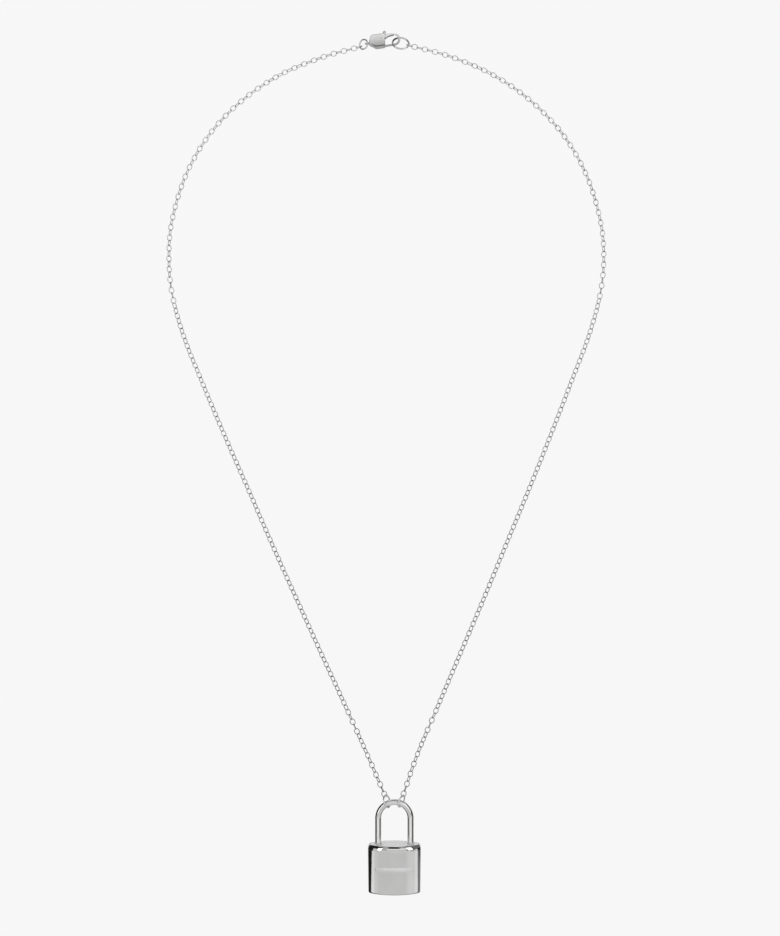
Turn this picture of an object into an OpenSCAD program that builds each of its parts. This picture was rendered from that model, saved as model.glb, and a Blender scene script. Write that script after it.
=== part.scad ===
// Padlock necklace, hanging as it is worn, in millimetres.
// +Z is up and the necklace hangs in the XZ plane, with its front towards -Y.
// The origin is the top of the loop, where it lies on the back of the neck.

/* [Padlock case] */
// Width of the case
case_w = 14.3; // [12:0.1:18]
// Depth of the case at the middle of its bowed faces
case_d = 8; // [7:0.1:9]
// Height of the case
case_h = 13.1; // [10:0.1:18]
// Radius of the bowed front and back
case_bow_r = 11; // [10:0.5:20]
// Radius of the upright corners
case_corner_r = 1.3; // [1.2:0.1:1.6]
// How far the rounded top edge comes in
top_edge_in = 0.85; // [0.2:0.05:1.1]
// How far the rounded top edge reaches down
top_edge_h = 1.4; // [0.4:0.1:3]
// Radius of the bottom edge
bottom_edge_r = 0.5; // [0.2:0.05:0.8]
// How far each side comes in from the top of the case to its bottom
case_taper = 0.15; // [0:0.05:0.3]

/* [Shackle] */
// Thickness of the shackle's rod
rod_d = 1.65; // [1.2:0.05:2]
// Outer width of the shackle
shackle_w = 10.4; // [9:0.1:11]
// Height of the shackle above the case
shackle_rise = 12; // [9:0.1:16]
// Depth of each leg's hole in the case
leg_hole_depth = 3.2; // [2:0.1:5]
// Gap round each leg in its hole
leg_gap = 0.1; // [0.03:0.01:0.15]

/* [Chain] */
// Distance from the middle of one link to the next
link_pitch = 1.42; // [1.4:0.01:1.5]
// Thickness of a link's wire
link_wire = 0.22; // [0.2:0.01:0.26]
// Outer width of a link
link_w = 1.55; // [1.4:0.05:1.6]

/* [Jump rings] */
// Outer diameter of the two rings on the shackle
hang_ring_d = 3.72; // [3.6:0.02:3.8]
// Wire of the two rings on the shackle
hang_ring_wire = 0.38; // [0.34:0.02:0.42]
// Outer diameter of the ring on the clasp's tail
tail_ring_d = 3.02; // [2.9:0.02:3.1]
// Wire of the ring on the clasp's tail
tail_ring_wire = 0.42; // [0.36:0.02:0.46]
// Outer diameter of the ring in the clasp's hook
catch_ring_d = 4.86; // [4.7:0.02:5]
// Wire of the ring in the clasp's hook
catch_ring_wire = 0.46; // [0.4:0.02:0.5]

/* [Clasp] */
// Thickness of the clasp's case
clasp_t = 2.4; // [2:0.1:2.8]
// Width of the slot that the lever turns in
slot_t = 0.8; // [0.76:0.02:1]
// Thickness of the lever
lever_t = 0.66; // [0.5:0.02:0.7]
// Thickness of the hook's round bar
hook_d = 0.56; // [0.4:0.02:0.58]
// Diameter of the rivet
rivet_d = 0.5; // [0.4:0.02:0.6]

/* [Hidden] */

// Clearances: between pieces that move, round the rivet in its case, and between link and link
play = 0.04;
rivet_fit = 0.02;
link_play = 0.02;
// How far a cut runs past the face that it opens
past = 1;
fine = 48;
coarse = 32;

// Places of the main pieces
lock_x = 2.25;
case_top_z = -216.1;
arch_r = (shackle_w - rod_d) / 2;
arch_z = case_top_z + shackle_rise - shackle_w / 2;
hang_left_at = -24.5;
hang_right_at = 23;
hang_left_lean = -20;
hang_right_lean = 18;
hang_turn = -26;
clasp_at = [-2.3, 0, 0.4];
clasp_turn = [-4, -8.5, 0];

// Each half's route, from the middle of its first link to the middle of its last
left_route = [
    [-7.3, 1.4, -0.7], [-17, 0.7, -3.6], [-28.5, 0.2, -8.5], [-38.8, 0, -15.5],
    [-47.5, 0, -24.5], [-53.9, 0, -35.4], [-57.7, 0, -47.6], [-58.6, 0, -57.8],
    [-57.7, 0, -68], [-54.6, 0, -79.2], [-50.3, 0, -90], [-44, 0, -105],
    [-37.4, 0, -120], [-30.9, 0, -135], [-24.2, 0, -150], [-17.4, 0, -165],
    [-10.5, 0, -180], [-5.1, 0, -192], [-0.45, 0, -202.8]];
right_route = [
    [6.35, -0.7, -0.9], [17, -0.2, -3.6], [28.5, 0, -8.4], [38.8, 0, -15.4],
    [47.6, 0, -24.5], [54, 0, -35.4], [57.8, 0, -47.6], [58.8, 0, -57.8],
    [57.8, 0, -68], [54.7, 0, -79.2], [50.6, 0, -90], [44.8, 0, -105],
    [38.8, 0, -120], [32.6, 0, -135], [26.4, 0, -150], [20, 0, -165],
    [13.6, 0, -180], [8.5, 0, -192], [4.75, 0, -202.7]];

// Links
link_l = link_pitch + 2 * link_wire + link_play;
link_r = (link_w - link_wire) / 2;
link_side = link_l - link_w;

// Sleeve that takes the place of the links between the two end links of a half
sleeve_sides = 8;
sleeve_rings = 37;
sleeve_gap = 0.1;
sleeve_clear = link_l / 2 + sleeve_gap;

// Clasp, in its own frame: x towards the nose, z towards the knob
clasp_corners = [[-0.9, 0.7, 1.1], [1.75, 1.4, 0.4], [1.55, -1.4, 0.4], [-0.35, -1.2, 0.6],
                 [-1.9, -0.3, 0.45]];
clasp_bevel = 0.35;
pivot = [1, 0.4];
slot_from_x = 0.25;
slot_from_z = -0.6;
slot_reach = 4;
hub_r = 0.62;
nose_r = 1.45;
nose_at = [4.45, -0.1];
nose_end = 64;
nose_tip_d = hook_d + 0.04;
gate_tip = [4.48, 1.27];
gate_tip_r = 0.25;
lever_arm = [[0.5, 0], [1.7, 0], [2.2, 0.35], [3, 0.85], [gate_tip[0], gate_tip[1] - gate_tip_r],
             [gate_tip[0], gate_tip[1] + gate_tip_r], [3.6, 1.65], [2.2, 1.7], [0.5, 0.9]];
lever_stem = [[1.8, 1.5], [2.6, 1.5], [2.45, 2.3], [1.95, 2.3]];
knob_at = [2.2, 2.3];
knob_r = 0.46;
eye_at = [-2.75, -0.15];
eye_r = 0.52;
eye_wire = 0.4;
tail_turn = 34;
catch_at = [3.97, -0.45, -0.22];
catch_turn = [-34.8, 13.7, -4.3];

// Point on a smooth curve through the route's points, u spans along it
function beyond(a, b) = 2 * a - b;
function knot(p, i) =
    i < 0 ? beyond(p[0], p[1]) :
    i >= len(p) ? beyond(p[len(p) - 1], p[len(p) - 2]) : p[i];
function blend4(a, b, c, d, t) =
    0.5 * (2 * b + (c - a) * t + (2 * a - 5 * b + 4 * c - d) * t * t
    + (3 * b - 3 * c + d - a) * t * t * t);
function along(p, u) =
    let (i = min(floor(u), len(p) - 2))
    blend4(knot(p, i - 1), knot(p, i), knot(p, i + 1), knot(p, i + 2), u - i);
function unit(v) = v / norm(v);
function heading(p, u) = unit(along(p, min(u + 0.02, len(p) - 1)) - along(p, max(u - 0.02, 0)));

// Outline of the case, brought in by an even distance: bow arcs joined by corner arcs
bow_y = case_d / 2 - case_bow_r;
corner_x = case_w / 2 - case_corner_r;
corner_y = bow_y + sqrt(pow(case_bow_r - case_corner_r, 2) - corner_x * corner_x);
bow_half = atan2(corner_x, corner_y - bow_y);
bow_steps = 14;
corner_steps = 8;
function quarter(inset) = concat(
    [for (k = [0:corner_steps])
        let (a = (90 - bow_half) * k / corner_steps, r = case_corner_r - inset)
        [corner_x + r * cos(a), corner_y + r * sin(a)]],
    [for (k = [1:bow_steps / 2])
        let (a = 90 - bow_half * (1 - 2 * k / bow_steps), r = case_bow_r - inset)
        [r * cos(a), bow_y + r * sin(a)]]);
function reversed(p) = [for (i = [len(p) - 1:-1:0]) p[i]];
function outline(inset) =
    let (q = quarter(inset), half = concat(q, [for (p = reversed(q)) if (p[0] > 0.001) [-p[0], p[1]]]))
    concat(half, [for (p = half) -p]);
edge_steps = 6;
upright_levels = concat(
    [for (k = [0:edge_steps - 1])
        let (a = 90 * k / edge_steps)
        [bottom_edge_r * (1 - sin(a)), bottom_edge_r * (1 - cos(a))]],
    [[0, bottom_edge_r]],
    [for (k = [0:edge_steps])
        let (a = 90 * k / edge_steps)
        [top_edge_in * (1 - cos(a)), case_h - top_edge_h * (1 - sin(a))]]);
levels = [for (v = upright_levels) [v[0] + case_taper * (1 - v[1] / case_h), v[1]]];

// Closed skin over a stack of rings that each have the same number of points
module skin(rings) {
    n = len(rings[0]);
    last = len(rings) - 1;
    polyhedron(
        points = [for (r = rings) for (p = r) p],
        faces = concat(
            [[for (k = [0:n - 1]) k]],
            [for (i = [0:last - 1]) for (k = [0:n - 1])
                [i * n + k, (i + 1) * n + k, (i + 1) * n + (k + 1) % n, i * n + (k + 1) % n]],
            [[for (k = [n - 1:-1:0]) last * n + k]]));
}

module ring(outer_d, wire) {
    rotate_extrude($fn = fine)
        translate([(outer_d - wire) / 2, 0]) circle(d = wire, $fn = fine);
}

// One oval link, lying in XZ with its length along X
module link() {
    rotate([90, 0, 0]) {
        for (s = [-1, 1])
            translate([s * link_side / 2, 0, 0])
                rotate([0, 0, -90 * s])
                    rotate_extrude(angle = 180, $fn = fine)
                        translate([link_r, 0]) circle(d = link_wire, $fn = fine);
        for (s = [-1, 1])
            translate([-link_side / 2, s * link_r, 0])
                rotate([0, 90, 0]) cylinder(d = link_wire, h = link_side, $fn = fine);
    }
}

// A link at one end of a route, rolled about its own length
module end_link(route, u, roll) {
    t = heading(route, u);
    translate(along(route, u))
        rotate([0, -asin(t[2]), atan2(t[1], t[0])])
            rotate([roll, 0, 0]) link();
}

module sleeve(route) {
    spans = len(route) - 1;
    from_u = sleeve_clear / norm(route[1] - route[0]);
    to_u = spans - sleeve_clear / norm(route[spans] - route[spans - 1]);
    skin([for (i = [0:sleeve_rings - 1])
        let (u = from_u + (to_u - from_u) * i / (sleeve_rings - 1),
             c = along(route, u), t = heading(route, u),
             side = unit(cross(t, [0, 1, 0])), out = cross(side, t))
        [for (k = [0:sleeve_sides - 1])
            let (a = 360 * k / sleeve_sides)
            c + link_w / 2 * (cos(a) * side + sin(a) * out)]]);
}

// A jump ring that holds the shackle's rod at an angle round the arch
module hang_ring(at, lean) {
    reach = (hang_ring_d - hang_ring_wire) / 2 - rod_d / 2 - hang_ring_wire / 2 - play;
    translate([lock_x + arch_r * sin(at), 0, arch_z + arch_r * cos(at)])
        rotate([0, lean, 0])
            translate([0, 0, reach])
                rotate([0, 0, hang_turn]) rotate([0, 90, 0]) ring(hang_ring_d, hang_ring_wire);
}

module lock_body() {
    color("silver")
        translate([lock_x, 0, case_top_z])
            difference() {
                translate([0, 0, -case_h])
                    skin([for (v = levels) [for (p = outline(v[0])) [p[0], p[1], v[1]]]]);
                for (s = [-1, 1])
                    translate([s * arch_r, 0, -leg_hole_depth])
                        cylinder(d = rod_d + 2 * leg_gap, h = leg_hole_depth + past, $fn = fine);
            }
}

module shackle() {
    leg = shackle_rise - shackle_w / 2 + leg_hole_depth - play;
    color("silver")
        translate([lock_x, 0, arch_z]) {
            rotate([90, 0, 0])
                rotate_extrude(angle = 180, $fn = fine)
                    translate([arch_r, 0]) circle(d = rod_d, $fn = fine);
            for (s = [-1, 1])
                translate([s * arch_r, 0, -leg]) cylinder(d = rod_d, h = leg, $fn = fine);
        }
}

module ring_left() {
    color("silver") hang_ring(hang_left_at, hang_left_lean);
}

module ring_right() {
    color("silver") hang_ring(hang_right_at, hang_right_lean);
}

module end_link_left() {
    color("silver") end_link(left_route, len(left_route) - 1, 0);
}

module end_link_right() {
    color("silver") end_link(right_route, len(right_route) - 1, 0);
}

module chain_left() {
    color("gainsboro") sleeve(left_route);
}

module chain_right() {
    color("gainsboro") sleeve(right_route);
}

module end_link_tail() {
    color("silver") end_link(left_route, 0, 90);
}

module end_link_catch() {
    color("silver") end_link(right_route, 0, 90);
}

module in_clasp_frame() {
    translate(clasp_at) rotate(clasp_turn) children();
}

module ring_tail() {
    color("silver")
        in_clasp_frame()
            translate([eye_at[0], 0, eye_at[1]])
                rotate(-clasp_turn)
                    rotate([0, 0, -tail_turn])
                        translate([-(tail_ring_d - tail_ring_wire) / 2, 0, 0])
                            rotate([90, 0, 0]) ring(tail_ring_d, tail_ring_wire);
}

module ring_catch() {
    color("silver")
        translate(catch_at)
            rotate(catch_turn) rotate([90, 0, 0]) ring(catch_ring_d, catch_ring_wire);
}

module clasp_outline(inset) {
    hull()
        for (c = clasp_corners)
            translate([c[0], c[1]]) circle(r = c[2] - inset, $fn = coarse);
}

// Case with bevelled faces
module clasp_case() {
    rotate([90, 0, 0])
        hull() {
            linear_extrude(clasp_t - 2 * clasp_bevel, center = true) clasp_outline(0);
            linear_extrude(clasp_t, center = true) clasp_outline(clasp_bevel);
        }
}

module hook() {
    start_x = clasp_corners[2][0] - clasp_corners[2][2];
    bar_z = nose_at[1] - nose_r;
    translate([start_x, 0, bar_z])
        rotate([0, 90, 0]) cylinder(d = hook_d, h = nose_at[0] - start_x, $fn = fine);
    translate([nose_at[0], 0, nose_at[1]]) {
        rotate([90, 0, 0])
            rotate([0, 0, -90])
                rotate_extrude(angle = 90 + nose_end, $fn = fine)
                    translate([nose_r, 0]) circle(d = hook_d, $fn = fine);
        translate([nose_r * cos(nose_end), 0, nose_r * sin(nose_end)])
            sphere(d = nose_tip_d, $fn = fine);
    }
}

module clasp_body() {
    color("silver")
        in_clasp_frame()
            difference() {
                union() {
                    clasp_case();
                    hook();
                    translate([eye_at[0], 0, eye_at[1]]) ring(2 * eye_r + eye_wire, eye_wire);
                }
                translate([slot_from_x, -slot_t / 2, slot_from_z])
                    cube([slot_reach, slot_t, slot_reach]);
                translate([pivot[0], 0, pivot[1]])
                    rotate([90, 0, 0])
                        cylinder(d = rivet_d + 2 * rivet_fit, h = clasp_t + past, center = true, $fn = fine);
            }
}

module clasp_lever() {
    color("silver")
        in_clasp_frame()
            difference() {
                union() {
                    rotate([90, 0, 0])
                        linear_extrude(lever_t, center = true) {
                            polygon(lever_arm);
                            polygon(lever_stem);
                            translate(pivot) circle(r = hub_r, $fn = fine);
                            translate(gate_tip) circle(r = gate_tip_r, $fn = fine);
                        }
                    translate([knob_at[0], 0, knob_at[1]]) sphere(r = knob_r, $fn = fine);
                }
                translate([pivot[0], 0, pivot[1]])
                    rotate([90, 0, 0])
                        cylinder(d = rivet_d + 2 * play, h = clasp_t, center = true, $fn = fine);
            }
}

module clasp_rivet() {
    color("silver")
        in_clasp_frame()
            translate([pivot[0], 0, pivot[1]])
                rotate([90, 0, 0]) cylinder(d = rivet_d, h = clasp_t, center = true, $fn = fine);
}

lock_body();
shackle();
ring_left();
ring_right();
end_link_left();
end_link_right();
chain_left();
chain_right();
end_link_tail();
end_link_catch();
ring_tail();
ring_catch();
clasp_body();
clasp_lever();
clasp_rivet();
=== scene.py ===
# %% [markdown]
# # A padlock on a fine chain
# The piece is a necklace of small oval links that carries a polished padlock, 14 mm wide, on two jump
# rings. It is shown hanging from the top of its loop, where a trigger clasp joins the two halves of the
# chain. The construction model gives every part its place and size, and this notebook gives the parts their
# looks: real links instead of plain sleeves, round wire, polished faces and a studio to mirror in them.

# %% Frame and helpers
import math

import bmesh
import bpy
import numpy as np
from mathutils import Matrix


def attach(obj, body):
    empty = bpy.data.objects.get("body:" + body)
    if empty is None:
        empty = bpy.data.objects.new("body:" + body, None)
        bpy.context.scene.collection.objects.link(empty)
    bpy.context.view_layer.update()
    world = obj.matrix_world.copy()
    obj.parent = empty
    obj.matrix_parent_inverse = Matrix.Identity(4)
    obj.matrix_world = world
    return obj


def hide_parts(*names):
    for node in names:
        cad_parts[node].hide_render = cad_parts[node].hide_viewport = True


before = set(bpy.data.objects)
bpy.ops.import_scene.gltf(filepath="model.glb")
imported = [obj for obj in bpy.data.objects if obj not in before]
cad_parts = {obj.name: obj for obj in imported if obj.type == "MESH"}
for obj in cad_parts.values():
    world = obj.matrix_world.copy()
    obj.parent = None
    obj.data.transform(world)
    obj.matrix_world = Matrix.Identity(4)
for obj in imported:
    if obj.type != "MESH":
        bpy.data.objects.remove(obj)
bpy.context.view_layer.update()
MM = 0.001

# %% [markdown]
# ## The camera
# The photo was taken level with the middle of the loop. The padlock shows its top and the clasp its
# underside, so the lens stood close: about 40 cm away. A long lens from further off would be the usual
# choice for jewellery, but it would flatten exactly those two views. The standard view transform keeps a
# pale grey the grey that it is.

# %% Camera
PHOTO_H = 936
MM_PER_PIXEL = 0.27
CAMERA_DISTANCE = 400 * MM
AIM_X, AIM_Z = 1.08 * MM, -114.75 * MM
SENSOR_W = 36
camera_data = bpy.data.cameras.new("camera")
camera = bpy.data.objects.new("camera", camera_data)
bpy.context.scene.collection.objects.link(camera)
camera_data.sensor_width = SENSOR_W
camera_data.lens = SENSOR_W * CAMERA_DISTANCE / (PHOTO_H * MM_PER_PIXEL * MM)
camera_data.clip_start, camera_data.clip_end = 0.01, 20
camera.location = (AIM_X, -CAMERA_DISTANCE, AIM_Z)
camera.rotation_euler = (math.pi / 2, 0, 0)
bpy.context.scene.camera = camera
bpy.context.scene.view_settings.view_transform = "Standard"
print("lens", round(camera_data.lens, 1), "mm")

# %% [markdown]
# ## Surfaces from numbers
# Almost every part of a necklace is wire, plate or a turned form. Each of them is a grid of points: one
# direction runs along the wire or over the profile and the other runs round it. So one helper turns grids
# into a closed smooth mesh, and the parts only have to say where their points lie. Flat ends are single
# faces with many corners.

# %% Grids and meshes


def grid_faces(rows, columns, close_rows):
    """Corner numbers of the quads between neighbours in a grid: i and i+1 down, j and j+1 across. The last
    column is joined to the first, and where the rows are closed, the last row is too."""
    i = np.arange(rows if close_rows else rows - 1)
    i, j = np.meshgrid(i, np.arange(columns), indexing="ij")
    below, right = (i + 1) % rows, (j + 1) % columns
    return np.stack([i * columns + j, i * columns + right, below * columns + right, below * columns + j],
                    -1).reshape(-1, 4)


def shell(points, close_rows=False, caps=()):
    """A grid of points in millimetres as flat lists of points and faces. Each row that caps names, 0 for the
    first and -1 for the last, is filled as a flat end."""
    rows, columns = points.shape[:2]
    numbers = np.arange(rows * columns).reshape(rows, columns)
    faces = grid_faces(rows, columns, close_rows).tolist() + [numbers[row].tolist() for row in caps]
    return points.reshape(-1, 3), faces


BOTH_ENDS = (0, -1)


def make_mesh(name, shells, sharp=40):
    """One object from several shells. Points that coincide are merged, faces are turned outwards, and edges
    that bend by more than the given angle stay crisp."""
    points, faces, first = [], [], 0
    for shell_points, shell_faces in shells:
        points.append(shell_points)
        faces += [[number + first for number in face] for face in shell_faces]
        first += len(shell_points)
    mesh = bpy.data.meshes.new(name)
    mesh.from_pydata((np.concatenate(points) * MM).tolist(), [], faces)
    work = bmesh.new()
    work.from_mesh(mesh)
    bmesh.ops.remove_doubles(work, verts=work.verts, dist=1e-6)
    bmesh.ops.recalc_face_normals(work, faces=work.faces)
    work.to_mesh(mesh)
    work.free()
    mesh.polygons.foreach_set("use_smooth", np.full(len(mesh.polygons), True))
    mesh.set_sharp_from_angle(angle=math.radians(sharp))
    obj = bpy.data.objects.new(name, mesh)
    bpy.context.scene.collection.objects.link(obj)
    print(name, len(mesh.vertices), "points,", len(mesh.polygons), "faces")
    return obj


def unit(v):
    """Each vector divided by its own length."""
    return v / np.linalg.norm(v, axis=-1, keepdims=True)


def turned(x, y, z):
    """Rotation matrix, in degrees: about x first, then y, then z."""
    (cx, cy, cz), (sx, sy, sz) = np.cos(np.radians((x, y, z))), np.sin(np.radians((x, y, z)))
    about_x = np.array([[1, 0, 0], [0, cx, -sx], [0, sx, cx]])
    about_y = np.array([[cy, 0, sy], [0, 1, 0], [-sy, 0, cy]])
    about_z = np.array([[cz, -sz, 0], [sz, cz, 0], [0, 0, 1]])
    return about_z @ about_y @ about_x


def placed(points, rotation, at):
    """Points turned by a matrix, then moved."""
    return points @ np.asarray(rotation).T + np.asarray(at)


def tube(path, outward, through, radius, sides):
    """Round wire: at every point of the path a circle in the plane of two unit vectors, its radius given
    for each point."""
    a = np.linspace(0, 2 * np.pi, sides, endpoint=False)[None, :, None]
    circle = np.cos(a) * np.asarray(outward)[:, None] + np.sin(a) * np.asarray(through)[:, None]
    return path[:, None] + np.broadcast_to(radius, len(path))[:, None, None] * circle


# %% [markdown]
# ## Shader nodes in one line
# Adding a node, setting its numbers and linking its sockets takes four or five lines each time, and hides
# what is computed. These helpers return a node's output, so that a formula can be read as a formula.

# %% Node helpers


def socket_of(node, identifier):
    """A mix node's input or output by its identifier, because several of them share one name."""
    return next(s for s in [*node.inputs, *node.outputs] if s.identifier == identifier)


def feed(tree, socket, source):
    """Links an input to an output, or gives it a plain value."""
    if isinstance(source, bpy.types.NodeSocket):
        tree.links.new(source, socket)
    else:
        socket.default_value = source


def math_node(tree, operation, *sources):
    """The result of a math node whose inputs are outputs or plain numbers."""
    node = tree.nodes.new("ShaderNodeMath")
    node.operation = operation
    for socket, source in zip(node.inputs, sources):
        feed(tree, socket, source)
    return node.outputs[0]


def mix_node(tree, kind, factor, a, b):
    """A Color or a Float that goes from a to b in proportion to the factor."""
    node = tree.nodes.new("ShaderNodeMix")
    node.data_type = "RGBA" if kind == "Color" else "FLOAT"
    for identifier, source in (("Factor_Float", factor), ("A_" + kind, a), ("B_" + kind, b)):
        feed(tree, socket_of(node, identifier), source)
    return socket_of(node, "Result_" + kind)


def ramp_node(tree, source, low, high, curve="LINEAR"):
    """0 up to low, 1 from high on, and a straight or smooth rise between. It falls if low is above high."""
    node = tree.nodes.new("ShaderNodeMapRange")
    node.interpolation_type = curve
    falls = low > high
    for name, value in (("From Min", min(low, high)), ("From Max", max(low, high)),
                        ("To Min", float(falls)), ("To Max", float(not falls))):
        node.inputs[name].default_value = value
    tree.links.new(source, node.inputs["Value"])
    return node.outputs[0]


# %% [markdown]
# ## Polished silver
# Polished metal has almost no colour of its own: it shows the room. What makes it look real is the small
# damage of wear: hairline scratches that catch light, a faint unevenness from the polishing mop, and a
# duller tone where nothing rubs. One group makes these three from Object coordinates, and each finish takes
# its own share of them.

# %% Wear group


def wear_group():
    """Group 'wear': a colour, a roughness and a height that vary over the surface, from noise at three
    scales: clouds of tarnish, thin stretched hairlines and the soft ripple of the mop."""
    group = bpy.data.node_groups.new("wear", "ShaderNodeTree")
    sockets = (("INPUT", "Color", ("Bright", "Dull")), ("INPUT", "Float", ("Smooth", "Rough", "Scratches")),
               ("OUTPUT", "Color", ("Color",)), ("OUTPUT", "Float", ("Roughness", "Height")))
    for way, kind, names in sockets:
        for name in names:
            group.interface.new_socket(name, in_out=way, socket_type="NodeSocket" + kind)
    nodes, links = group.nodes, group.links
    given, out = nodes.new("NodeGroupInput"), nodes.new("NodeGroupOutput")
    where = nodes.new("ShaderNodeTexCoord").outputs["Object"]

    def noise(scale, detail, source):
        node = nodes.new("ShaderNodeTexNoise")
        node.inputs["Scale"].default_value = scale
        node.inputs["Detail"].default_value = detail
        links.new(source, node.inputs["Vector"])
        return node.outputs[0]

    stretch = nodes.new("ShaderNodeMapping")
    stretch.inputs["Rotation"].default_value = (0.3, 0.2, 0.5)
    stretch.inputs["Scale"].default_value = (6000, 400, 500)
    links.new(where, stretch.inputs["Vector"])
    hairlines = ramp_node(group, noise(1, 4, stretch.outputs[0]), 0.6, 0.75)
    clouds = ramp_node(group, noise(180, 3, where), 0.45, 0.75)
    marks = math_node(group, "MULTIPLY", hairlines, given.outputs["Scratches"])
    mop = noise(700, 2, where)
    colour = mix_node(group, "Color", clouds, given.outputs["Bright"], given.outputs["Dull"])
    roughness = mix_node(group, "Float", marks, given.outputs["Smooth"], given.outputs["Rough"])
    links.new(colour, out.inputs["Color"])
    links.new(roughness, out.inputs["Roughness"])
    links.new(math_node(group, "MULTIPLY_ADD", marks, -0.3, mop), out.inputs["Height"])
    print("wear group:", len(nodes), "nodes")
    return group


WEAR = wear_group()

# %% [markdown]
# ## One recipe, several finishes
# The case is polished highest, the wire a little less, and the clasp has a satin face. Their colours differ
# by a few percent only. On the case's top and in its struck marks, an attribute on the points says how far
# the metal keeps its frosted skin, where the mop does not reach, and on the shackle's bend it gives the
# satin where the rings rub. On the clasp, its lever and the catch ring the same attribute paints shade, and
# on the chain it darkens the links towards the bottom.

# %% Finishes


def silver(name, bright, dull, smooth, rough, scratches, bump, frost_and_shade=None, bloom=0):
    """A polished metal. Colour, roughness and a shallow bump come from the wear group. Bloom is the share
    of the light that a frosted skin scatters as white paint does. Given a colour, a roughness and a bloom
    for frost or painted shade, the piece's attribute of the same name blends towards them."""
    material = bpy.data.materials.new(name)
    material.use_nodes = True
    tree = material.node_tree
    nodes, links = tree.nodes, tree.links
    shader = nodes["Principled BSDF"]
    shader.inputs["Metallic"].default_value = 1 - bloom
    wear = nodes.new("ShaderNodeGroup")
    wear.node_tree = WEAR
    for name, value in (("Bright", (bright, bright, bright * 0.995, 1)),
                        ("Dull", (dull, dull * 0.995, dull * 0.985, 1)),
                        ("Smooth", smooth), ("Rough", rough), ("Scratches", scratches)):
        wear.inputs[name].default_value = value
    relief = nodes.new("ShaderNodeBump")
    relief.inputs["Strength"].default_value = bump
    relief.inputs["Distance"].default_value = 0.02 * MM
    colour, roughness = wear.outputs["Color"], wear.outputs["Roughness"]
    if frost_and_shade:
        mask = nodes.new("ShaderNodeAttribute")
        mask.attribute_name = "frost_and_shade"
        depth = mask.outputs["Fac"]
        grey, frosted, frost_and_shade_bloom = frost_and_shade
        colour = mix_node(tree, "Color", depth, colour, (grey, grey, grey, 1))
        roughness = mix_node(tree, "Float", depth, roughness, frosted)
        links.new(mix_node(tree, "Float", depth, 1 - bloom, 1 - frost_and_shade_bloom), shader.inputs["Metallic"])
    links.new(colour, shader.inputs["Base Color"])
    links.new(roughness, shader.inputs["Roughness"])
    links.new(wear.outputs["Height"], relief.inputs["Height"])
    links.new(relief.outputs["Normal"], shader.inputs["Normal"])
    return material


# The triple after them is the colour, roughness and bloom that the piece's attribute blends to: frosted skin
# on the case, satin on the shackle's bend, painted shade on the clasp, its lever and the catch ring, and a
# darker tone towards the bottom of the chain.
# name, bright, dull, smooth, rough, scratches, bump
case_silver = silver("case_silver", 0.85, 0.81, 0.04, 0.16, 0.5, 0.12, frost_and_shade=(0.92, 0.5, 0.45))
rod_silver = silver("rod_silver", 0.86, 0.8, 0.05, 0.18, 0.5, 0.12, frost_and_shade=(0.9, 0.32, 0.12))
wire_silver = silver("wire_silver", 0.9, 0.78, 0.16, 0.3, 0.6, 0.15, frost_and_shade=(0.02, 0.4, 0), bloom=0.1)
chain_silver = silver("chain_silver", 0.92, 0.76, 0.12, 0.26, 0.4, 0.12, frost_and_shade=(0.54, 0.26, 0))
clasp_silver = silver("clasp_silver", 0.92, 0.87, 0.34, 0.45, 0.4, 0.1, frost_and_shade=(0.1, 0.5, 0.1), bloom=0.42)
rivet_silver = silver("rivet_silver", 0.8, 0.66, 0.2, 0.35, 0.8, 0.3)


def finish(obj, material, body, node):
    """Gives a new piece its material, its body, and the part that it stands for."""
    obj.data.materials.append(material)
    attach(obj, body)
    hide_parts(node)


def mark_frost_and_shade(obj, depth):
    """Stores the attribute that blends a piece to its frosted skin or its painted shade: a function of the
    points, in millimetres, that is 0 on the open surface and 1 at the bottom of a mark or where the
    painted shade is full."""
    points = np.empty(len(obj.data.vertices) * 3)
    obj.data.vertices.foreach_get("co", points)
    layer = obj.data.attributes.new("frost_and_shade", "FLOAT", "POINT")
    layer.data.foreach_set("value", depth(points.reshape(-1, 3) / MM).astype(np.float32))


def no_frost_or_shade(points):
    """0 everywhere, for a piece that is worn alike all over."""
    return np.zeros(len(points))


finishes = (case_silver, rod_silver, wire_silver, chain_silver, clasp_silver, rivet_silver)
print("finishes:", ", ".join(material.name for material in finishes))

# %% [markdown]
# ## The padlock's case
# Seen from above, the case is a lens with cut corners: two wide bows joined by small corner arcs. Real ones
# are cast or stamped and then polished, which rounds every edge, most of all the long top edge. A box with
# bevelled edges would be quick, but its faces would be flat and mirror one grey. So the outline is computed
# and stacked in levels that come in at the bottom and, further, at the top, and the polish shows as a sweep
# of the studio.

# %% Case outline
LOCK_X, CASE_TOP = 2.25, -216.1
CASE_W, CASE_D, CASE_H = 14.3, 8, 13.1
BOW_R, CORNER_R = 11, 1.3
TOP_IN, TOP_H, BOTTOM_R, TAPER = 0.85, 1.4, 0.5, 0.15
bow_y = CASE_D / 2 - BOW_R
corner_x = CASE_W / 2 - CORNER_R
corner_y = bow_y + math.sqrt((BOW_R - CORNER_R) ** 2 - corner_x**2)
bow_half = math.atan2(corner_x, corner_y - bow_y)


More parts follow.
